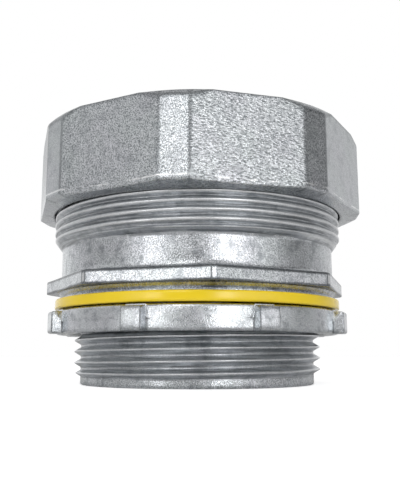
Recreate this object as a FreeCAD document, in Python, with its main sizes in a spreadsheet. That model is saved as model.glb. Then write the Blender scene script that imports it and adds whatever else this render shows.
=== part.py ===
"""Straight liquidtight conduit connector, trade size 2-1/2 in, standing on its hub end."""
import FreeCAD, Part
import Sketcher
import os

# Driving sizes, in millimetres and degrees. Heights count from the hub end.
SIZES = {
    "hub_thread_od": 73.0,
    "hub_thread_depth": 1.9,
    "hub_pitch": 3.175,
    "hub_crest_width": 0.3,
    "hub_length": 24.1,
    "lead_length": 3.1,
    "lead_chamfer": 0.6,
    "hub_wall": 3.2,
    "throat_chamfer": 1.2,
    "seat_face_margin": 1.0,
    "seat_face_height": 2.0,
    "seat_rim_height": 0.4,
    "seat_cove": 1.0,
    "flange_sides": 8,
    "flange_corner_reach": 3.8,
    "flange_flat_reach": 0.6,
    "flange_thickness": 3.9,
    "flange_edge": 0.4,
    "flange_turn": 27.6,
    "barrel_wall": 3.0,
    "barrel_length": 8.6,
    "barrel_fillet": 1.0,
    "upper_thread_depth": 1.0,
    "upper_pitch": 2.4,
    "upper_crest_width": 0.9,
    "upper_runout": 1.8,
    "upper_length": 18.4,
    "flank_angle": 30,
    "thread_bite": 0.3,
    "socket_depth": 23.0,
    "socket_wall": 4.4,
    "mouth_bevel": 2.5,
    "conduit_od": 73.0,
    "conduit_wall": 5.0,
    "skirt_clearance": 0.2,
    "sleeve_clearance": 0.3,
    "running_gap": 0.3,
    "sheet_thickness": 0.8,
    "sleeve_length": 20.0,
    "skirt_length": 8.0,
    "nut_sides": 8,
    "nut_corner_wall": 6.0,
    "nut_flat_wall": 3.6,
    "nut_height": 24.4,
    "nut_underside_rise": 1.0,
    "nut_top_chamfer": 1.9,
    "nut_chamfer_width": 1.3,
    "nut_lip": 5.2,
    "nut_entry_clearance": 1.1,
    "nut_turn": 15.9,
    "nut_turns_to_tight": 3,
    "ring_clearance": 0.4,
    "ring_wall": 4.2,
    "ring_foot": 0.3,
    "ring_height": 6.5,
    "ring_edge": 0.5,
    "ring_seat_gap": 0.3,
    "gasket_width": 5.7,
    "gasket_thickness": 2.8,
    "gasket_edge": 0.5,
    "locknut_wall": 5.1,
    "locknut_height": 6.8,
    "locknut_edge": 0.9,
    "locknut_gap": 0.3,
    "locknut_turn": 23.6,
    "lug_count": 8,
    "lug_reach": 2.8,
    "lug_width": 5.2,
    "lug_flare": 0.6,
    "lug_height": 6.2,
    "cut_margin": 1.0,
}

# Radii that several pieces share, from the conduit's and the hub thread's diameters outwards
CONDUIT_BORE_R = "conduit_od / 2 - conduit_wall"
SOCKET_R = "( conduit_od / 2 + skirt_clearance + sheet_thickness + running_gap )"
BARREL_R = SOCKET_R + " + barrel_wall"
UPPER_ROOT_R = SOCKET_R + " + socket_wall"
UPPER_CREST_R = UPPER_ROOT_R + " + upper_thread_depth"
NUT_BORE_R = "( " + UPPER_CREST_R + " + running_gap )"
RING_INNER_R = "( conduit_od / 2 + ring_clearance )"
RING_OUTER_R = "( conduit_od / 2 + ring_clearance + ring_wall )"
LEAD_R = "hub_thread_od / 2 - hub_thread_depth"
THROAT_R = "min( {0} - hub_wall ; {1} )".format(LEAD_R, CONDUIT_BORE_R)
HUB_BORE_R = "( hub_thread_od / 2 + running_gap )"
GASKET_R = HUB_BORE_R + " + gasket_width"
SEAT_FACE_R = GASKET_R + " - seat_face_margin"
FLANGE_CORE_R = "max( {0} ; {1} )".format(BARREL_R, SEAT_FACE_R)
FLANGE_R = FLANGE_CORE_R + " + flange_corner_reach"

# Heights that several pieces share
FLANGE_LOW = "hub_length + seat_face_height"
FLANGE_TOP = "hub_length + seat_face_height + flange_thickness"
UPPER_START = FLANGE_TOP + " + barrel_length"
MOUTH = UPPER_START + " + upper_length"
SEAT = MOUTH + " - socket_depth"
NUT_TRAVEL = "nut_turns_to_tight * upper_pitch"
RING_SEATED = "{0} - mouth_bevel - ( {1} - {2} - ring_foot ) + ring_seat_gap * sqrt( 2 )".format(
    MOUTH, SOCKET_R, RING_INNER_R)
RING_LOW = "{0} + {1}".format(RING_SEATED, NUT_TRAVEL)
NUT_LOW = "{0} + ring_height + nut_lip - nut_height".format(RING_LOW)
GASKET_LOW = "hub_length - gasket_thickness"
LOCKNUT_LOW = "hub_length - gasket_thickness - locknut_gap - locknut_height"


def bound(formula):
    """Makes a formula in size names read its numbers from the sheet."""
    return " ".join("Sizes." + word if word in SIZES else word for word in formula.split())


def write_sheet(doc):
    """Fills the sheet of driving sizes, one named cell each."""
    sheet = doc.addObject("Spreadsheet::Sheet", "Sizes")
    for row, (alias, value) in enumerate(SIZES.items(), start=1):
        sheet.set("A%d" % row, alias)
        sheet.set("B%d" % row, str(value))
        sheet.setAlias("B%d" % row, alias)
    doc.recompute()


def origin_part(body, role):
    """Finds a plane or axis of a body's own origin."""
    return next(item for item in body.Origin.OriginFeatures if item.Role == role)


def new_body(doc, name, height="0", turn="0"):
    """Starts a sub-part whose own origin stands at a height and is turned about the axis."""
    body = doc.addObject("PartDesign::Body", name)
    body.Label = name
    body.Placement = FreeCAD.Placement(FreeCAD.Vector(), FreeCAD.Rotation(FreeCAD.Vector(0, 0, 1), 1.0))
    body.setExpression("Placement.Base.z", bound(height))
    body.setExpression("Placement.Rotation.Angle", bound(turn))
    return body


def outline(body, name, plane, points, height="0"):
    """Draws a closed outline. Each corner is a pair of formulas, bound to the sheet."""
    sketch = body.newObject("Sketcher::SketchObject", name)
    sketch.AttachmentSupport = (origin_part(body, plane), [""])
    sketch.MapMode = "FlatFace"
    sketch.setExpression("AttachmentOffset.Base.z", bound(height))
    count = len(points)
    rough = [FreeCAD.Vector(10 + index, index * index, 0) for index in range(count)]
    for index in range(count):
        sketch.addGeometry(Part.LineSegment(rough[index], rough[(index + 1) % count]), False)
    for index in range(count):
        sketch.addConstraint(Sketcher.Constraint("Coincident", index, 2, (index + 1) % count, 1))
    for index, corner in enumerate(points):
        for kind, formula in zip(("DistanceX", "DistanceY"), corner):
            number = sketch.addConstraint(Sketcher.Constraint(kind, -1, 1, index, 1, 1.0))
            label = "%s_%d" % (kind, index)
            sketch.renameConstraint(number, label)
            sketch.setExpression("Constraints." + label, bound(formula))
    sketch.Visibility = False
    body.Document.recompute()
    return sketch


def turned(body, name, points):
    """Adds a solid of revolution about the body's upright axis."""
    sketch = outline(body, name + "_profile", "XZ_Plane", points)
    feature = body.newObject("PartDesign::Revolution", name)
    feature.Profile = sketch
    feature.ReferenceAxis = (sketch, ["V_Axis"])
    feature.Angle = 360.0
    body.Document.recompute()
    return feature


def ridges(body, name, crest_r, depth, crest_width, pitch, start, end):
    """Adds a thread as even ridges with flat crests between two heights."""
    half_crest = "%s / 2" % crest_width
    half_root = "%s / 2 + %s * tan( flank_angle * 1 deg )" % (crest_width, depth)
    middle = "%s + %s" % (start, half_root)
    root_r = "%s - %s" % (crest_r, depth)
    ridge = turned(body, name + "_ridge", [
        (root_r + " - thread_bite", middle + " - ( %s )" % half_root),
        (root_r, middle + " - ( %s )" % half_root),
        (crest_r, middle + " - " + half_crest),
        (crest_r, middle + " + " + half_crest),
        (root_r, middle + " + " + half_root),
        (root_r + " - thread_bite", middle + " + " + half_root),
    ])
    count = bound("floor( ( ( %s ) - ( %s ) ) / %s )" % (end, start, pitch))
    pattern = body.newObject("PartDesign::LinearPattern", name)
    pattern.Originals = [ridge]
    pattern.Direction = (origin_part(body, "Z_Axis"), [""])
    pattern.setExpression("Occurrences", count)
    pattern.setExpression("Length", "%s * ( %s - 1 )" % (bound(pitch), count))
    body.Tip = pattern
    body.Document.recompute()


def around(body, name, feature, count):
    """Repeats a feature evenly about the body's upright axis."""
    pattern = body.newObject("PartDesign::PolarPattern", name)
    pattern.Originals = [feature]
    pattern.Axis = (origin_part(body, "Z_Axis"), [""])
    pattern.Angle = 360.0
    pattern.setExpression("Occurrences", bound(count))
    body.Tip = pattern
    body.Document.recompute()


def flats(body, name, flat_r, corner_r, count, top, height):
    """Cuts even flats down from a height into a round form. Narrow round corners stay between them."""
    far = corner_r + " + cut_margin"
    low_side = "0 - ( %s )" % corner_r
    sketch = outline(body, name + "_outline", "XY_Plane",
                     [(flat_r, low_side), (far, low_side), (far, corner_r), (flat_r, corner_r)], top)
    before = body.Shape.Volume
    pocket = body.newObject("PartDesign::Pocket", name + "_flat")
    pocket.Profile = sketch
    pocket.setExpression("Length", bound(height))
    body.Document.recompute()
    if body.Shape.Volume >= before:
        raise RuntimeError("The flat of %s cuts nothing" % name)
    around(body, name, pocket, count)


def make_body(doc):
    """The casting: hub thread, seat face, flange, barrel, upper thread, throat and conduit socket."""
    body = new_body(doc, "body", turn="flange_turn")
    turned(body, "core", [
        (THROAT_R + " + throat_chamfer", "0"),
        (LEAD_R + " - lead_chamfer", "0"),
        (LEAD_R, "lead_chamfer"),
        (LEAD_R, "hub_length"),
        (SEAT_FACE_R, "hub_length"),
        (SEAT_FACE_R, "hub_length + seat_rim_height"),
        (SEAT_FACE_R + " - seat_cove", "hub_length + seat_rim_height"),
        (SEAT_FACE_R, FLANGE_LOW),
        (FLANGE_R + " - flange_edge", FLANGE_LOW),
        (FLANGE_R, FLANGE_LOW + " + flange_edge"),
        (FLANGE_R, FLANGE_TOP + " - flange_edge"),
        (FLANGE_R + " - flange_edge", FLANGE_TOP),
        (BARREL_R + " + barrel_fillet", FLANGE_TOP),
        (BARREL_R, FLANGE_TOP + " + barrel_fillet"),
        (BARREL_R, UPPER_START),
        (UPPER_ROOT_R, UPPER_START + " + upper_runout"),
        (UPPER_ROOT_R, MOUTH),
        (SOCKET_R + " + mouth_bevel", MOUTH),
        (SOCKET_R, MOUTH + " - mouth_bevel"),
        (SOCKET_R, SEAT),
        (THROAT_R, SEAT),
        (THROAT_R, "throat_chamfer"),
    ])
    ridges(body, "hub_thread", "hub_thread_od / 2", "hub_thread_depth", "hub_crest_width",
           "hub_pitch", "lead_length", "hub_length")
    ridges(body, "upper_thread", UPPER_CREST_R, "upper_thread_depth", "upper_crest_width",
           "upper_pitch", UPPER_START + " + upper_runout", MOUTH)
    flats(body, "flange_flats", FLANGE_CORE_R + " + flange_flat_reach", FLANGE_R, "flange_sides",
          FLANGE_TOP, "flange_thickness")
    return body


def make_gland_nut(doc):
    """The nut that screws down over the upper thread. Its lip presses on the compression ring."""
    nut = new_body(doc, "gland_nut", NUT_LOW, "nut_turn")
    entry_r = "( conduit_od / 2 + nut_entry_clearance )"
    pocket_r = RING_OUTER_R + " + running_gap"
    pocket_low = "{0} + {1} + running_gap - ( {2} )".format(MOUTH, NUT_TRAVEL, NUT_LOW)
    corner_r = NUT_BORE_R + " + nut_corner_wall"
    turned(nut, "round_form", [
        (NUT_BORE_R, "0"),
        (corner_r, "nut_underside_rise"),
        (corner_r, "nut_height - nut_top_chamfer"),
        (corner_r + " - nut_chamfer_width", "nut_height"),
        (entry_r, "nut_height"),
        (entry_r, "nut_height - nut_lip"),
        (pocket_r, "nut_height - nut_lip"),
        (pocket_r, pocket_low),
        (NUT_BORE_R, pocket_low),
    ])
    flats(nut, "nut_flats", NUT_BORE_R + " + nut_flat_wall", corner_r, "nut_sides",
          "nut_height", "nut_height")
    return nut


def make_compression_ring(doc):
    """The nylon ring. Its lower cone matches the body's bevelled mouth."""
    ring = new_body(doc, "compression_ring", RING_LOW)
    turned(ring, "ring_form", [
        (RING_INNER_R, "0"),
        (RING_INNER_R + " + ring_foot", "0"),
        (RING_OUTER_R, "ring_wall - ring_foot"),
        (RING_OUTER_R, "ring_height - ring_edge"),
        (RING_OUTER_R + " - ring_edge", "ring_height"),
        (RING_INNER_R, "ring_height"),
    ])
    return ring


def make_ferrule(doc):
    """The rolled steel ferrule on the seat. The conduit's end goes between its sleeve and its skirt."""
    ferrule = new_body(doc, "ferrule", SEAT)
    sleeve_outer = "( " + CONDUIT_BORE_R + " - sleeve_clearance )"
    skirt_inner = "( conduit_od / 2 + skirt_clearance )"
    turned(ferrule, "rolled_form", [
        (sleeve_outer + " - sheet_thickness", "0"),
        (skirt_inner + " + sheet_thickness", "0"),
        (skirt_inner + " + sheet_thickness", "skirt_length"),
        (skirt_inner, "skirt_length"),
        (skirt_inner, "sheet_thickness"),
        (sleeve_outer, "sheet_thickness"),
        (sleeve_outer, "sleeve_length"),
        (sleeve_outer + " - sheet_thickness", "sleeve_length"),
    ])
    return ferrule


def make_sealing_gasket(doc):
    """The ring that seals the connector against the outside of a box wall."""
    gasket = new_body(doc, "sealing_gasket", GASKET_LOW)
    turned(gasket, "gasket_form", [
        (HUB_BORE_R, "0"),
        (GASKET_R + " - gasket_edge", "0"),
        (GASKET_R, "gasket_edge"),
        (GASKET_R, "gasket_thickness - gasket_edge"),
        (GASKET_R + " - gasket_edge", "gasket_thickness"),
        (HUB_BORE_R, "gasket_thickness"),
    ])
    return gasket


def make_locknut(doc):
    """The nut inside the box: a ring with lugs that a screwdriver drives round."""
    locknut = new_body(doc, "locknut", LOCKNUT_LOW, "locknut_turn")
    outer_r = HUB_BORE_R + " + locknut_wall"
    turned(locknut, "locknut_ring", [
        (HUB_BORE_R + " + locknut_edge", "0"),
        (outer_r + " - locknut_edge", "0"),
        (outer_r, "locknut_edge"),
        (outer_r, "locknut_height - locknut_edge"),
        (outer_r + " - locknut_edge", "locknut_height"),
        (HUB_BORE_R + " + locknut_edge", "locknut_height"),
        (HUB_BORE_R, "locknut_height - locknut_edge"),
        (HUB_BORE_R, "locknut_edge"),
    ])
    root_r = outer_r + " - locknut_edge * 2"
    lug_r = outer_r + " + lug_reach"
    sketch = outline(locknut, "lug_outline", "XY_Plane", [
        (root_r, "0 - lug_width / 2 - lug_flare"),
        (lug_r, "0 - lug_width / 2"),
        (lug_r, "lug_width / 2"),
        (root_r, "lug_width / 2 + lug_flare"),
    ])
    lug = locknut.newObject("PartDesign::Pad", "lug")
    lug.Profile = sketch
    lug.setExpression("Length", bound("lug_height"))
    doc.recompute()
    around(locknut, "lugs", lug, "lug_count")
    return locknut


MAKERS = (
    make_body,
    make_gland_nut,
    make_compression_ring,
    make_ferrule,
    make_sealing_gasket,
    make_locknut,
)


def check(doc, parts):
    """Stops if any feature failed or any sub-part isn't one valid solid."""
    doc.recompute()
    for item in doc.Objects:
        if "Invalid" in item.State or "Error" in item.State:
            raise RuntimeError("%s failed: %s" % (item.Name, item.State))
    for part in parts:
        shape = part.Shape
        if shape.isNull() or not shape.isValid() or len(shape.Solids) != 1:
            raise RuntimeError("%s isn't one valid solid" % part.Label)


def main():
    doc = FreeCAD.newDocument("LiquidtightConnector")
    write_sheet(doc)
    parts = [make(doc) for make in MAKERS]
    check(doc, parts)
    os.makedirs("parts", exist_ok=True)
    for part in parts:
        part.Shape.exportStep("parts/%s.step" % part.Label)
        print(part.Label, round(part.Shape.Volume / 1000, 2), "cm3", part.Shape.BoundBox)


main()
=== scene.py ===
"""Looks of the liquidtight conduit connector: helical threads, rounded cast zinc and a glossy gasket."""
import math

import bmesh
import bpy
import numpy as np
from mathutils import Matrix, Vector, noise


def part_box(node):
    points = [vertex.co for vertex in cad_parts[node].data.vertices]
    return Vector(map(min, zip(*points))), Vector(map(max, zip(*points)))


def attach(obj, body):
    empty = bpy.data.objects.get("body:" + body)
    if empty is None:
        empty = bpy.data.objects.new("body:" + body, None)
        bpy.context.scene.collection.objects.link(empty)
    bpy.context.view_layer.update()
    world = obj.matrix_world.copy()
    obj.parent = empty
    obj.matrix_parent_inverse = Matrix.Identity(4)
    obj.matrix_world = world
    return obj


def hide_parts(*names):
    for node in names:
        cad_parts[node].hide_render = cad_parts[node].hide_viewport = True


MM = 0.001
TURN = 2 * math.pi
SAME_POINT = 2e-7

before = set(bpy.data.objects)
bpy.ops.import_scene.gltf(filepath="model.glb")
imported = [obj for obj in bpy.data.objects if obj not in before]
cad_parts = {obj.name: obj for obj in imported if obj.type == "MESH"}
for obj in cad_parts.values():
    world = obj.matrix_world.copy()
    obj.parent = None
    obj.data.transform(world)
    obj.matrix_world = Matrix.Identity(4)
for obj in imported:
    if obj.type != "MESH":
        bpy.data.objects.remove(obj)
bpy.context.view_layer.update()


# Outlines seen from above: columns of a grid that goes round the axis

def eight_sided(flat_r, corner_r, turn):
    """The corners of flats with narrow faces between them, as points in millimetres."""
    half = math.degrees(math.acos(flat_r / corner_r))
    angles = [math.radians(turn + 45 * side + sign * half) for side in range(8) for sign in (-1, 1)]
    return [(corner_r * math.cos(a), corner_r * math.sin(a)) for a in angles]


def lugged(ring_r, lug_r, half_root, half_tip, count, turn):
    """A ring with lugs. Each lug has a root and a tip corner on each side.

    The third value of a point says whether it is a corner to be rounded."""
    points = []
    tip_r = math.hypot(lug_r, half_tip)
    root = math.asin(half_root / ring_r)
    tip = math.atan2(half_tip, lug_r)
    gap = TURN / count - 2 * root
    for index in range(count):
        middle = math.radians(turn + 360 / count * index)
        for angle, radius in ((-root, ring_r), (-tip, tip_r), (tip, tip_r), (root, ring_r)):
            points.append((radius * math.cos(middle + angle), radius * math.sin(middle + angle), True))
        for step in range(1, 16):
            angle = middle + root + gap * step / 16
            points.append((ring_r * math.cos(angle), ring_r * math.sin(angle), False))
    return points


def rounded(start, corner, end, shares):
    """Points of a curve from start to end that follows a corner."""
    return [start * (1 - t) ** 2 + corner * 2 * t * (1 - t) + end * t * t for t in shares]


def columns_round(corners, rounding, step, smooth=5):
    """Angles, radii and corner marks along a closed outline with rounded corners. The corner marks are used
    for painted shade.

    step is about the distance between columns. The last column closes on the first."""
    points = [np.array(corner[:2], float) for corner in corners]
    is_corner = [len(corner) < 3 or corner[2] for corner in corners]
    arcs = []
    for index, point in enumerate(points):
        if not is_corner[index]:
            arcs.append([point])
            continue
        before = points[index - 1] - point
        after = points[(index + 1) % len(points)] - point
        reach = min(rounding, 0.45 * np.hypot(*before), 0.45 * np.hypot(*after))
        start = point + before / np.hypot(*before) * reach
        end = point + after / np.hypot(*after) * reach
        arcs.append(rounded(start, point, end, np.linspace(0, 1, smooth)))
    walk = []
    marks = []
    for index, arc in enumerate(arcs):
        walk.extend(arc)
        marks.extend(np.sin(math.pi * np.linspace(0.1, 0.9, len(arc))) * (len(arc) > 1))
        ahead = arcs[(index + 1) % len(arcs)][0]
        pieces = max(1, int(np.hypot(*(ahead - arc[-1])) / step))
        walk.extend(arc[-1] + (ahead - arc[-1]) * k / pieces for k in range(1, pieces))
        marks.extend([0.0] * (pieces - 1))
    walk = np.array(walk)
    angles = np.unwrap(np.arctan2(walk[:, 1], walk[:, 0]))
    radii = np.hypot(walk[:, 0], walk[:, 1])
    return np.append(angles, angles[0] + TURN), np.append(radii, radii[0]), np.append(marks, marks[0])


# Rows of the grid: radius, height and light mark (painted shade, painted highlights and wear) for each
# column

def rows_along(corners, count, sides=0.0):
    """Rows through corners given as (radius, height, rounding, rows to the next corner, light mark).

    The light mark may be left out. Above zero it is painted shade, below zero painted highlights and bright
    wear. Rows whose radius follows the outline also take the marks in sides, which are painted shade along
    rounded corners and painted highlights on narrow faces."""
    points = [np.array([np.full(count, r), np.full(count, z)], float) for r, z, *_ in corners]
    follows = [isinstance(corner[0], np.ndarray) for corner in corners]
    groups = []
    for index, corner in enumerate(corners):
        point = points[index]
        if corner[2] == 0 or index in (0, len(points) - 1):
            groups.append([point])
            continue
        before = points[index - 1] - point
        after = points[index + 1] - point
        length_before = np.hypot(*before)
        length_after = np.hypot(*after)
        reach = np.minimum(corner[2], 0.45 * np.minimum(length_before, length_after))
        start = point + before * reach / np.maximum(length_before, 1e-9)
        end = point + after * reach / np.maximum(length_after, 1e-9)
        groups.append(rounded(start, point, end, (0, 0.25, 0.5, 0.75, 1)))
    rows = []
    for index, group in enumerate(groups):
        # The fifth value is painted shade above zero, and painted highlights and wear below it.
        painted_light_and_wear = corners[index][4] if len(corners[index]) > 4 else 0.0
        mark = painted_light_and_wear if np.min(painted_light_and_wear) < 0 else np.maximum(painted_light_and_wear, sides * follows[index])
        rows.extend(np.vstack([row, np.broadcast_to(mark, count)]) for row in group)
        if index + 1 < len(groups):
            ahead = groups[index + 1][0]
            extra = corners[index][3]
            between = np.asarray(sides * (follows[index] and follows[index + 1]), float)
            mark = np.broadcast_to(between, count)
            for k in range(1, extra + 1):
                rows.append(np.vstack([group[-1] + (ahead - group[-1]) * k / (extra + 1), mark]))
    return rows


def helix_rows(angles, low, high, pitch, form, limit, front_crest):
    """Rows of a thread that climbs round the axis between two heights, with painted highlights on the
    crests and painted shade in the roots.

    form lists (distance from the crest, radius) from crest to root. limit gives the largest radius at a
    height. front_crest is the height of a crest in front."""
    crest_r = form[0][1]
    root_r = form[-1][1]
    half = [(distance / pitch, radius) for distance, radius in form]
    phases = half + [(1 - distance, radius) for distance, radius in reversed(half[1:-1])]
    climb = pitch * (angles + math.pi / 2) / TURN
    first = math.floor((low - front_crest - climb.max()) / pitch) - 1
    last = math.ceil((high - front_crest - climb.min()) / pitch) + 1
    rows = []
    for whole in range(first, last):
        for phase, radius in phases:
            z = front_crest + climb + pitch * (whole + phase)
            if z.max() <= low or z.min() >= high:
                continue
            z = np.clip(z, low, high)
            depth = (crest_r - radius) / (crest_r - root_r)
            fade = np.clip(np.minimum(z - low, high - z), 0, 1)
            # The third value paints shade into the roots and highlights onto the crests, fading out at both
            # ends.
            rows.append(np.array([np.minimum(radius, limit(z)), z, (1.2 * depth - 0.7) * fade]))
    return rows


def closed_mesh(name, rows, angles, marks=None):
    """A watertight mesh whose last row closes on its first. Coincident points are joined."""
    grid = np.array(rows)
    # The third value of each row is kept as the mark of painted shade, painted highlights and wear.
    marks = {**(marks or {}), "painted_light_and_wear": grid[:, 2]}
    grid = grid * MM
    row_count, _, column_count = grid.shape
    x = grid[:, 0] * np.cos(angles)
    y = grid[:, 0] * np.sin(angles)
    points = np.stack([x, y, grid[:, 1]], axis=-1).reshape(-1, 3)
    row = np.arange(row_count)[:, None]
    column = np.arange(column_count - 1)[None, :]
    here = row * column_count + column
    above = (row + 1) % row_count * column_count + column
    faces = np.stack([here, here + 1, above + 1, above], axis=-1).reshape(-1, 4)
    mesh = bpy.data.meshes.new(name)
    mesh.from_pydata(points.tolist(), [], faces.tolist())
    for label, values in marks.items():
        layer = mesh.attributes.new(label, "FLOAT", "POINT")
        layer.data.foreach_set("value", np.array(values, np.float32).reshape(-1))
    work = bmesh.new()
    work.from_mesh(mesh)
    bmesh.ops.remove_doubles(work, verts=work.verts, dist=SAME_POINT)
    bmesh.ops.recalc_face_normals(work, faces=work.faces)
    work.to_mesh(mesh)
    work.free()
    mesh.shade_smooth()
    return added(name, mesh)


def added(name, data):
    """A new object in the scene."""
    thing = bpy.data.objects.new(name, data)
    bpy.context.scene.collection.objects.link(thing)
    return thing


def cast_waves(thing, low, size, fine, fine_size):
    """Uneven skin of a casting: pushes points in along their normals by soft noise, never out."""
    vertices = thing.data.vertices
    places = np.zeros(len(vertices) * 3)
    normals = np.zeros(len(vertices) * 3)
    vertices.foreach_get("co", places)
    vertices.foreach_get("normal", normals)
    depths = []
    for point in places.reshape(-1, 3) / MM:
        place = Vector(point)
        broad = noise.noise(place / size + Vector((3.1, 7.7, 1.9)))
        grain = noise.noise(place / fine_size + Vector((9.2, 0.4, 5.5)))
        depths.append(low * (0.5 + 0.5 * broad) + fine * (0.5 + 0.5 * grain))
    moved = places.reshape(-1, 3) - normals.reshape(-1, 3) * np.maximum(0, depths)[:, None] * MM
    vertices.foreach_set("co", moved.reshape(-1))
    thing.data.update()


def span(node):
    """Lowest and highest point of a CAD node on the axis, in millimetres."""
    low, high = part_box(node)
    return low.z / MM, high.z / MM


# Body, in millimetres and degrees like the other pieces: up its outside, then down its socket and throat

THROAT_R = 31.4
THROAT_EDGE = 1.2
LEAD_R = 34.6
THREAD_LOW = 2.4
HUB_LENGTH = 24.1
HUB_PITCH = 3.175
HUB_FORM = [(0, 36.5), (0.18, 36.42), (0.45, 35.98), (0.85, 35.29), (1.2, 34.7), (1.35, LEAD_R),
            (HUB_PITCH / 2, LEAD_R)]
HUB_FRONT_CREST = 6.94
HUB_SMOOTHNESS = 0.85
SEAT_R = 41.5
SEAT_RIM = 0.4
GROOVE_DEPTH = 1.0
FLANGE_LOW = 26.1
FLANGE_TOP = 30.0
FLANGE_FLAT_R = 42.1
FLANGE_CORNER_R = 45.3
FLANGE_TURN = 27.6
NARROW_FACE_HALF = 0.65
BARREL_R = 40.8
UPPER_START = 38.6
UPPER_PITCH = 2.4
UPPER_ROOT_R = 42.2
UPPER_FORM = [(0, 43.2), (0.25, 43.17), (0.45, 43.02), (0.65, 42.76), (0.9, 42.38), (1.05, 42.22),
              (UPPER_PITCH / 2, UPPER_ROOT_R)]
UPPER_FRONT_CREST = 39.25
MOUTH = 57.0
MOUTH_BEVEL = 2.5
SOCKET_R = 37.8
SEAT = 34.0


def make_casting():
    """The body, with both threads marked for their smoother look."""
    corners = eight_sided(FLANGE_FLAT_R, FLANGE_CORNER_R, FLANGE_TURN)
    angles, flange, outline_shading = columns_round(corners, rounding=0.25, step=1.05)
    count = len(angles)
    from_narrow_face = (np.degrees(angles) - FLANGE_TURN) % 45 - 22.5
    # Painted highlights on the flange's narrow faces. The rounded corners keep their painted shade.
    outline_shading[np.abs(from_narrow_face) < NARROW_FACE_HALF] = -0.8
    runout_slope = 0.75 + 1.1 * np.clip(np.cos(angles + math.pi / 2), 0, 1) ** 2

    def hub_limit(z):
        """The hub thread rises out of the lead and runs out before the seat face."""
        return LEAD_R + np.minimum((z - THREAD_LOW) * 1.7, (HUB_LENGTH - z) * 2)

    def upper_limit(z):
        """The upper thread rises out of the barrel, steepest in front, and ends in a bevel at the mouth."""
        return np.minimum(BARREL_R + (z - UPPER_START) * runout_slope, UPPER_ROOT_R + (MOUTH - z))

    lower_end = rows_along([
        (THROAT_R, 14, 0, 8), (THROAT_R, THROAT_EDGE, 0.5, 0), (THROAT_R + THROAT_EDGE, 0, 0.4, 0),
        (LEAD_R, 0, 0.7, 4), (LEAD_R, THREAD_LOW, 0, 0),
    ], count)
    hub = helix_rows(angles, THREAD_LOW, HUB_LENGTH, HUB_PITCH, HUB_FORM, hub_limit, HUB_FRONT_CREST)
    # Painted shade in the seat groove, in the band under the flange and along the flange's lower and upper
    # edges.
    middle = rows_along([
        (LEAD_R, HUB_LENGTH, 0, 1), (SEAT_R, HUB_LENGTH, 0.15, 0), (SEAT_R, HUB_LENGTH + SEAT_RIM, 0.15, 0),
        (SEAT_R - GROOVE_DEPTH, HUB_LENGTH + 0.5, 0.2, 1, 0.3), (SEAT_R, FLANGE_LOW, 0.15, 0, 0.5),
        (flange, FLANGE_LOW, 0.5, 5, 1), (flange, FLANGE_TOP, 0.6, 4, 1),
        (BARREL_R, FLANGE_TOP, 1.6, 8), (BARREL_R, UPPER_START, 0, 0),
    ], count, outline_shading)
    upper = helix_rows(angles, UPPER_START, MOUTH, UPPER_PITCH, UPPER_FORM, upper_limit, UPPER_FRONT_CREST)
    inside = rows_along([
        (UPPER_ROOT_R, MOUTH, 0, 0), (SOCKET_R + MOUTH_BEVEL, MOUTH, 0.3, 1),
        (SOCKET_R, MOUTH - MOUTH_BEVEL, 0.3, 5), (SOCKET_R, SEAT, 0.3, 2), (THROAT_R, SEAT, 0.4, 8),
        (THROAT_R, 15, 0, 0),
    ], count)
    rows = lower_end + hub + middle + upper + inside
    stretches = ((lower_end, 0), (hub, HUB_SMOOTHNESS), (middle, 0), (upper, 1), (inside, 0))
    thread = np.vstack([np.full((len(stretch), count), mark, float) for stretch, mark in stretches])
    casting = closed_mesh("casting", rows, angles, {"thread": thread})
    cast_waves(casting, 0.05, 8.0, 0.02, 3.0)
    return casting


# Gland nut. Its inner heights are from its lowest point

NUT_BORE_R = 43.5
NUT_FLAT_R = 47.1
NUT_CORNER_R = 49.5
NUT_TURN = 15.9
NUT_FACE_HALF = 18.3
NUT_SIDES_FROM = 44.5
NUT_RIM_R = 47.7
NUT_UNDERSIDE_RISE = 1.0
NUT_CHAMFER = 1.9
NUT_LIP_R = 37.6
POCKET_R = 41.4
POCKET_LOW = 15.68
POCKET_TOP = 19.2


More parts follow.
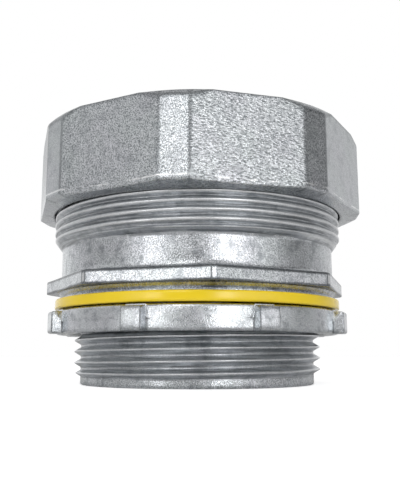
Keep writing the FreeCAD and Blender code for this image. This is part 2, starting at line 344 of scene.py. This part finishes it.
def make_nut():
    """The gland nut: grain that slants on its right front face, plainer sides, and a worn lower edge."""
    low, top = span("gland_nut")
    corners = eight_sided(NUT_FLAT_R, NUT_CORNER_R, NUT_TURN)
    angles, wall, outline_shading = columns_round(corners, rounding=0.8, step=1.0, smooth=7)
    underside = low + NUT_UNDERSIDE_RISE * (wall - NUT_BORE_R) / (NUT_CORNER_R - NUT_BORE_R)
    shoulder = top - np.maximum(NUT_CHAMFER * (wall - NUT_RIM_R) / (NUT_CORNER_R - NUT_RIM_R), 0.3)
    rim = np.minimum(wall - 0.3, NUT_RIM_R)
    worn = np.zeros(len(angles))
    for waves in (9, 27):
        places = [Vector((waves * math.cos(angle), waves * math.sin(angle), 2.5)) for angle in angles]
        worn += [noise.noise(place) for place in places]
    worn = np.minimum(0, worn - 0.45)
    # Painted shade in the bore, on the underside and along the top edges and the corners. Bright wear on
    # the lower edge.
    rows = rows_along([
        (NUT_BORE_R, low + 7, 0, 5, 1), (NUT_BORE_R, low, 0.3, 2, 0.9),
        ((NUT_BORE_R + wall) / 2, (low + underside) / 2, 0.1, 3, 0.3), (wall, underside, 0.8, 1),
        (wall, underside + 1.2, 0.1, 0, worn), (wall, underside + 1.7, 0.1, 18),
        (wall, shoulder, 0.7, 2, 0.7), (rim, top, 0.4, 6, 0.7), (NUT_LIP_R, top, 0.6, 3),
        (NUT_LIP_R, low + POCKET_TOP, 0.3, 1), (POCKET_R, low + POCKET_TOP, 0.2, 2),
        (POCKET_R, low + POCKET_LOW, 0.2, 0), (NUT_BORE_R, low + POCKET_LOW, 0.2, 5),
        (NUT_BORE_R, low + 7.5, 0, 0),
    ], len(angles), 0.7 * outline_shading)
    from_front = (np.degrees(angles) + 90 + 180) % 360 - 180
    slanted = np.abs(from_front - NUT_TURN) < NUT_FACE_HALF
    plainer = np.abs(from_front + 2) > NUT_SIDES_FROM
    streaks = np.broadcast_to(slanted.astype(float) - plainer, (len(rows), len(angles)))
    nut = closed_mesh("nut", rows, angles, {"streaks": streaks})
    cast_waves(nut, 0.06, 7.0, 0.03, 2.5)
    return nut


# Locknut and gasket, both on the hub thread. Lug heights are from the locknut's lowest point

HUB_BORE_R = 36.8
BORE_EDGE = 0.9
LUGS = 8
LUG_TURN = 23.6
LUG_RING_R = 41.9
LUG_R = 44.7
LUG_ROOT_HALF = 3.1
LUG_TIP_HALF = 2.8
LUG_TOP = 6.2
LUG_FOOT = 3.2
LUG_SLOPE = 2.6
LOCKNUT_FACE_R = 40.3
GASKET_R = 42.5


def make_locknut():
    """The locknut, whose lugs end below its top face."""
    low, top = span("locknut")
    corners = lugged(LUG_RING_R, LUG_R, LUG_ROOT_HALF, LUG_TIP_HALF, LUGS, LUG_TURN)
    angles, outer, outline_shading = columns_round(corners, rounding=0.4, step=1.2)
    lug_top = low + LUG_FOOT + (LUG_TOP - LUG_FOOT) * np.clip((outer - LUG_RING_R) / LUG_SLOPE, 0, 1)
    # Painted shade in the bore, on the underside, along the lugs' lower and top edges and along their
    # corners.
    rows = rows_along([
        (HUB_BORE_R, low + 3.4, 0, 1), (HUB_BORE_R, low + BORE_EDGE, 0.3, 0, 1),
        (HUB_BORE_R + BORE_EDGE, low, 0.4, 1, 1), (LOCKNUT_FACE_R, low, 0.1, 2, 0.9),
        (outer, low, 0.9, 3, 0.5), (outer, lug_top, 0.9, 2, 0.5),
        (LUG_RING_R, lug_top, 0.5, 1), (LUG_RING_R, top, 0.9, 4),
        (HUB_BORE_R + BORE_EDGE, top, 0.4, 0), (HUB_BORE_R, top - BORE_EDGE, 0.3, 1),
        (HUB_BORE_R, low + 3.6, 0, 0),
    ], len(angles), outline_shading)
    locknut = closed_mesh("lug_ring", rows, angles)
    cast_waves(locknut, 0.06, 5.0, 0.03, 2.0)
    return locknut


def make_gasket():
    """The smooth ring under the flange."""
    low, top = span("sealing_gasket")
    angles = np.linspace(0, TURN, 241)
    rows = rows_along([
        (HUB_BORE_R, low + 1, 0, 0), (HUB_BORE_R, low, 0.1, 2), (GASKET_R, low, 0.5, 1),
        (GASKET_R, top, 0.5, 2), (HUB_BORE_R, top, 0.1, 0), (HUB_BORE_R, top - 1, 0, 0),
    ], len(angles))
    return closed_mesh("gasket_ring", rows, angles)


# Node trees

class Tree:
    """A node tree, with short ways to add what this script uses."""

    def __init__(self, owner):
        owner.use_nodes = True
        self.nodes = owner.node_tree.nodes
        self.links = owner.node_tree.links

    def add(self, kind, **settings):
        """A new node. A setting is one of its sockets, or else one of its own values."""
        made = self.nodes.new("ShaderNode" + kind)
        for key, value in settings.items():
            if key in made.inputs:
                made.inputs[key].default_value = value
            else:
                setattr(made, key, value)
        return made

    def feed(self, socket, value):
        """Link an output to a socket, or set the socket to a plain value."""
        if hasattr(value, "is_output"):
            self.links.new(value, socket)
        else:
            socket.default_value = value

    def ranged(self, value, low, high, out_low, out_high):
        """A value moved from one range to another, and kept inside it."""
        spread = self.add("MapRange")
        ends = {"From Min": low, "From Max": high, "To Min": out_low, "To Max": out_high}
        for socket, number in ends.items():
            spread.inputs[socket].default_value = number
        self.links.new(value, spread.inputs["Value"])
        return spread.outputs["Result"]

    def mixed(self, first, second, factor):
        """Two numbers blended by a factor."""
        return self.blended("FLOAT", (2, 3, 0), first, second, factor)

    def mixed_colour(self, first, second, factor):
        """Two colours blended by a factor."""
        return self.blended("RGBA", (6, 7, 2), first, second, factor)

    def blended(self, data, sockets, first, second, factor):
        """A blend of one kind of data, given its two input sockets and its output."""
        blend = self.add("Mix", data_type=data)
        self.feed(blend.inputs[sockets[0]], first)
        self.feed(blend.inputs[sockets[1]], second)
        self.feed(blend.inputs[0], factor)
        return blend.outputs[sockets[2]]

    def worked_out(self, operation, first, second):
        """The result of a calculation with two numbers."""
        made = self.add("Math", operation=operation)
        self.feed(made.inputs[0], first)
        self.feed(made.inputs[1], second)
        return made.outputs[0]

    def ramp(self, value, stops):
        """The strength of light at a share of the way round. Stops are (azimuth in degrees, strength)."""
        made = self.add("ValToRGB")
        elements = made.color_ramp.elements
        elements.remove(elements[1])
        for index, (azimuth, strength) in enumerate(stops):
            position = (azimuth + 180) / 360
            element = elements[0] if index == 0 else elements.new(position)
            element.position = position
            element.color = (strength, strength, strength, 1)
        self.links.new(value, made.inputs["Fac"])
        return made.outputs["Color"]

    def seen_and_lit(self, seen, lit, output):
        """Show one shader to the camera, and light the rest with the other."""
        choice = self.add("MixShader")
        self.links.new(self.add("LightPath").outputs["Is Camera Ray"], choice.inputs[0])
        self.links.new(lit.outputs[0], choice.inputs[1])
        self.links.new(seen.outputs[0], choice.inputs[2])
        self.links.new(choice.outputs[0], self.nodes[output].inputs["Surface"])


class Finish(Tree):
    """A principled material, with noise in object coordinates and marks read from the mesh."""

    def __init__(self, name, base, metallic, roughness):
        self.material = bpy.data.materials.new(name)
        super().__init__(self.material)
        self.shader = self.nodes["Principled BSDF"]
        self.shader.inputs["Base Color"].default_value = (*base, 1)
        self.shader.inputs["Metallic"].default_value = metallic
        self.shader.inputs["Roughness"].default_value = roughness

    def grain(self, scale, detail, stretch=None, tilt=0.0, roughness=0.6):
        """Noise, if need be stretched along the axes and tilted about Y."""
        places = self.add("TexCoord").outputs["Object"]
        if stretch:
            mapping = self.add("Mapping", Rotation=(0, math.radians(tilt), 0), Scale=stretch)
            self.links.new(places, mapping.inputs["Vector"])
            places = mapping.outputs["Vector"]
        texture = self.add("TexNoise", Scale=scale, Detail=detail, Roughness=roughness)
        self.links.new(places, texture.inputs["Vector"])
        return texture.outputs["Fac"]

    def mark(self, name):
        """A mark that the mesh carries."""
        return self.add("Attribute", attribute_name=name).outputs["Fac"]

    def bump(self, height, distance, strength):
        """Unevenness too fine to model."""
        bump = self.add("Bump", Distance=distance)
        self.feed(bump.inputs["Strength"], strength)
        self.links.new(height, bump.inputs["Height"])
        self.links.new(bump.outputs["Normal"], self.shader.inputs["Normal"])


# Materials

ZINC_GREENISH = (0.74, 0.775, 0.79, 1)
ZINC_BLUISH = (0.76, 0.77, 0.81, 1)
SPECKS = (0.18, 0.2, 0.21, 1)
CUT_METAL = (0.6, 0.62, 0.645, 1)
TOOL_LINES = (0.2, 0.21, 0.22, 1)
STAINS = (0.3, 0.32, 0.34, 1)
# Painted shade, and painted highlights that also stand for wear, chosen by the light mark.
PAINTED_SHADE = (0.10, 0.11, 0.12, 1)
PAINTED_HIGHLIGHT_AND_WEAR = (0.95, 0.96, 0.97, 1)
ZINC_BUMP = 0.00013


def zinc(name, specks, coarse, threads=False):
    """Zinc plated casting: fine grain with dark specks, stains, painted shade on edges and in hollows, and
    painted highlights and bright wear.

    specks is the strength of the dark specks, and coarse that of the stains and the broad unevenness.
    With threads, the mark thread blends in the smoother, darker metal of a cut thread with its tool lines.
    Without them, the mark streaks slants the grain above zero and calms it below."""
    finish = Finish(name, (0.62, 0.63, 0.63), 1.0, 0.4)
    mark = finish.mark("thread" if threads else "streaks")
    fine = finish.grain(3300, 2)
    broad = finish.grain(420, 2)
    height = finish.mixed(fine, finish.grain(2600, 2, (1.0, 1.0, 0.5)), 0.5)
    if not threads:
        slanted = finish.grain(2400, 2, (0.4, 1.0, 1.1), -52)
        deep = finish.ranged(slanted, 0, 1, -0.5, 1.5)
        height = finish.mixed(height, deep, finish.ranged(mark, 0, 1, 0, 1))
        height = finish.mixed(height, 0.5, finish.ranged(mark, 0, -1, 0, 0.7))
        fine = finish.mixed(fine, slanted, finish.ranged(mark, 0, 1, 0, 0.6))
        fine = finish.mixed(fine, 0.5, finish.ranged(mark, 0, -1, 0, 0.75))
    height = finish.mixed(height, broad, coarse)
    roughness = finish.ranged(broad, 0.3, 0.7, 0.2, 0.3)
    hue = finish.ranged(finish.grain(90, 2), 0.35, 0.65, 0, 1)
    colour = finish.mixed_colour(ZINC_GREENISH, ZINC_BLUISH, hue)
    colour = finish.mixed_colour(colour, SPECKS, finish.ranged(fine, 0.44, 0.60, 0, specks))
    strength = 0.9
    if threads:
        drawn = finish.grain(3200, 3, (0.03, 0.03, 1.0))
        lines = finish.mixed(0.0, finish.ranged(drawn, 0.46, 0.62, 0, 0.75), mark)
        colour = finish.mixed_colour(colour, CUT_METAL, finish.ranged(mark, 0, 1, 0, 0.8))
        colour = finish.mixed_colour(colour, TOOL_LINES, lines)
        height = finish.mixed(height, drawn, mark)
        roughness = finish.mixed(roughness, 0.29, mark)
        strength = finish.ranged(mark, 0, 1, 0.9, 0.5)
    stained = finish.ranged(finish.grain(330, 4), 0.5, 0.68, 0, 1.6 * coarse)
    colour = finish.mixed_colour(colour, STAINS, stained)
    # Painted shade where the light mark is above zero. Painted highlights and wear where it is below.
    ragged_light_and_wear = finish.mixed(finish.mark("painted_light_and_wear"), fine, 0.35)
    colour = finish.mixed_colour(colour, PAINTED_SHADE, finish.ranged(ragged_light_and_wear, 0.35, 0.85, 0, 0.8))
    colour = finish.mixed_colour(colour, PAINTED_HIGHLIGHT_AND_WEAR, finish.ranged(ragged_light_and_wear, 0.0, -0.4, 0, 0.9))
    finish.links.new(colour, finish.shader.inputs["Base Color"])
    finish.links.new(roughness, finish.shader.inputs["Roughness"])
    finish.bump(height, ZINC_BUMP, strength)
    return finish.material


def plain(name, base, metallic, roughness, scale, depth):
    """A plain finish with a little unevenness in its gloss and surface."""
    finish = Finish(name, base, metallic, roughness)
    texture = finish.grain(scale, 2, roughness=0.5)
    uneven = finish.ranged(texture, 0, 1, roughness * 0.8, roughness * 1.25)
    finish.links.new(uneven, finish.shader.inputs["Roughness"])
    finish.bump(texture, depth, 0.5)
    return finish.material


# Studio: pale floor, and a surround of soft light whose strength changes with the direction

FLOOR_REACH = 1.6
FLOOR_GLOW = 0.6
FLOOR_GREY = (0.85, 0.85, 0.85, 1)
OVERHEAD = (0.5, 0.5, 0.5, 1)
LOW_TO_HIGH = (0.2, 0.27)
HIGH_TO_OVERHEAD = (0.55, 0.8)
LOW_LIGHT = [
    (-180, 1.05), (-142, 1.0), (-118, 0.75), (-95, 0.45), (-62, 0.45), (-50, 1.3), (-41, 1.8), (-37, 3.1),
    (-30, 3.1), (-26, 1.1), (-20, 0.25), (4, 0.2), (11, 0.85), (15, 2.4), (18, 4.2), (26, 4.2), (30, 2.1),
    (42, 1.25), (52, 1.45), (64, 0.8), (78, 0.35), (98, 0.36), (120, 0.6), (145, 0.8), (180, 1.0),
]
HIGH_LIGHT = [
    (-180, 0.75), (-140, 0.7), (-102, 0.64), (-75, 0.62), (-57, 0.68), (-44, 0.42), (-34, 0.25), (-25, 0.5),
    (-18, 2.9), (-10, 2.9), (-3, 0.45), (10, 0.4), (20, 0.6), (28, 0.95), (37, 0.95), (47, 0.5), (64, 0.3),
    (78, 0.2), (98, 0.3), (122, 0.62), (150, 0.75), (180, 0.75),
]


def make_floor():
    """A pale floor, brighter to the camera than to the part."""
    mesh = bpy.data.meshes.new("floor")
    corners = [(x * FLOOR_REACH, y * FLOOR_REACH, 0) for x, y in ((-1, -1), (1, -1), (1, 1), (-1, 1))]
    mesh.from_pydata(corners, [], [(0, 1, 2, 3)])
    floor = added("floor", mesh)
    finish = Finish("pale_floor", (0.9, 0.9, 0.9), 0.0, 0.9)
    finish.shader.inputs["Emission Color"].default_value = (1, 1, 1, 1)
    finish.shader.inputs["Emission Strength"].default_value = FLOOR_GLOW
    dim = finish.add("BsdfDiffuse", Color=FLOOR_GREY)
    finish.seen_and_lit(finish.shader, dim, "Material Output")
    mesh.materials.append(finish.material)


def make_surround():
    """Light from all round, low, high and overhead. The camera sees plain white instead."""
    world = bpy.data.worlds.new("studio")
    bpy.context.scene.world = world
    tree = Tree(world)
    direction = tree.add("SeparateXYZ")
    tree.links.new(tree.add("TexCoord").outputs["Generated"], direction.inputs[0])
    to_front = tree.worked_out("MULTIPLY", direction.outputs["Y"], -1)
    azimuth = tree.worked_out("ARCTAN2", direction.outputs["X"], to_front)
    way_round = tree.ranged(azimuth, -math.pi, math.pi, 0, 1)
    above_low = tree.ranged(direction.outputs["Z"], *LOW_TO_HIGH, 0, 1)
    above_high = tree.ranged(direction.outputs["Z"], *HIGH_TO_OVERHEAD, 0, 1)
    low = tree.ramp(way_round, LOW_LIGHT)
    high = tree.ramp(way_round, HIGH_LIGHT)
    sides = tree.mixed_colour(low, high, above_low)
    surround = tree.nodes["Background"]
    tree.links.new(tree.mixed_colour(sides, OVERHEAD, above_high), surround.inputs["Color"])
    backdrop = tree.add("Background", Color=(1, 1, 1, 1))
    tree.seen_and_lit(backdrop, surround, "World Output")


def make_fill():
    """A wide soft light in front that leaves no reflection."""
    data = bpy.data.lights.new("fill", "AREA")
    data.size = 0.6
    data.energy = 2
    fill = added("fill", data)
    fill.location = (-0.1, -0.9, 0.5)
    fill.rotation_euler = (math.radians(62), 0, math.radians(-6))
    fill.visible_glossy = False


# Camera, as fitted to the round edges, facet corners and lugs in the photo. Its place is in metres

SENSOR_MM = 36
IMAGE_HEIGHT_PX = 482
FOCAL_PX = 650.1
CAMERA_DISTANCE = 0.1993
CAMERA_HEIGHT = 0.00842
TILT_UP = 9.95
PAN = -0.25


def make_camera():
    """The photo's view, from below the nut and with all of the part sharp."""
    data = bpy.data.cameras.new("camera")
    data.sensor_width = SENSOR_MM
    data.lens = FOCAL_PX / IMAGE_HEIGHT_PX * SENSOR_MM
    data.clip_start = 0.005
    data.clip_end = 20
    camera = added("camera", data)
    camera.location = (0, -CAMERA_DISTANCE, CAMERA_HEIGHT)
    camera.rotation_euler = (math.radians(90 + TILT_UP), 0, math.radians(PAN))
    bpy.context.scene.camera = camera


# Pieces that replace solids, and solids that stay

casting = make_casting()
nut = make_nut()
locknut = make_locknut()
gasket = make_gasket()
body_zinc = zinc("zinc_body", 0.68, 0.5, threads=True)
nut_zinc = zinc("zinc_nut", 0.9, 0.25)
lock_zinc = zinc("zinc_locknut", 0.32, 0.42)
yellow = plain("yellow_rubber", (0.95, 0.69, 0.02), 0.0, 0.12, 300, 0.00002)
nylon = plain("natural_nylon", (0.78, 0.76, 0.70), 0.0, 0.45, 600, 0.00004)
plated = plain("plated_sheet", (0.66, 0.67, 0.68), 1.0, 0.28, 900, 0.00003)

for thing, body_name, cad_node, slot_name, finish in (
        (casting, "body", "body", "zinc_casting", body_zinc),
        (nut, "nut", "gland_nut", "zinc_casting", nut_zinc),
        (locknut, "locknut", "locknut", "zinc_casting", lock_zinc),
        (gasket, "gasket", "sealing_gasket", "yellow_gasket", yellow)):
    thing.data.materials.clear()
    thing.data.materials.append(finish)
    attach(thing, body_name)
    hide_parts(cad_node)
for cad_node, slot_name, finish in (
        ("compression_ring", "nylon", nylon),
        ("ferrule", "plated_steel", plated)):
    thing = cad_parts[cad_node]
    thing.data.materials.clear()
    thing.data.materials.append(finish)

make_floor()
make_surround()
bpy.context.scene.view_settings.view_transform = "Standard"
make_fill()
make_camera()
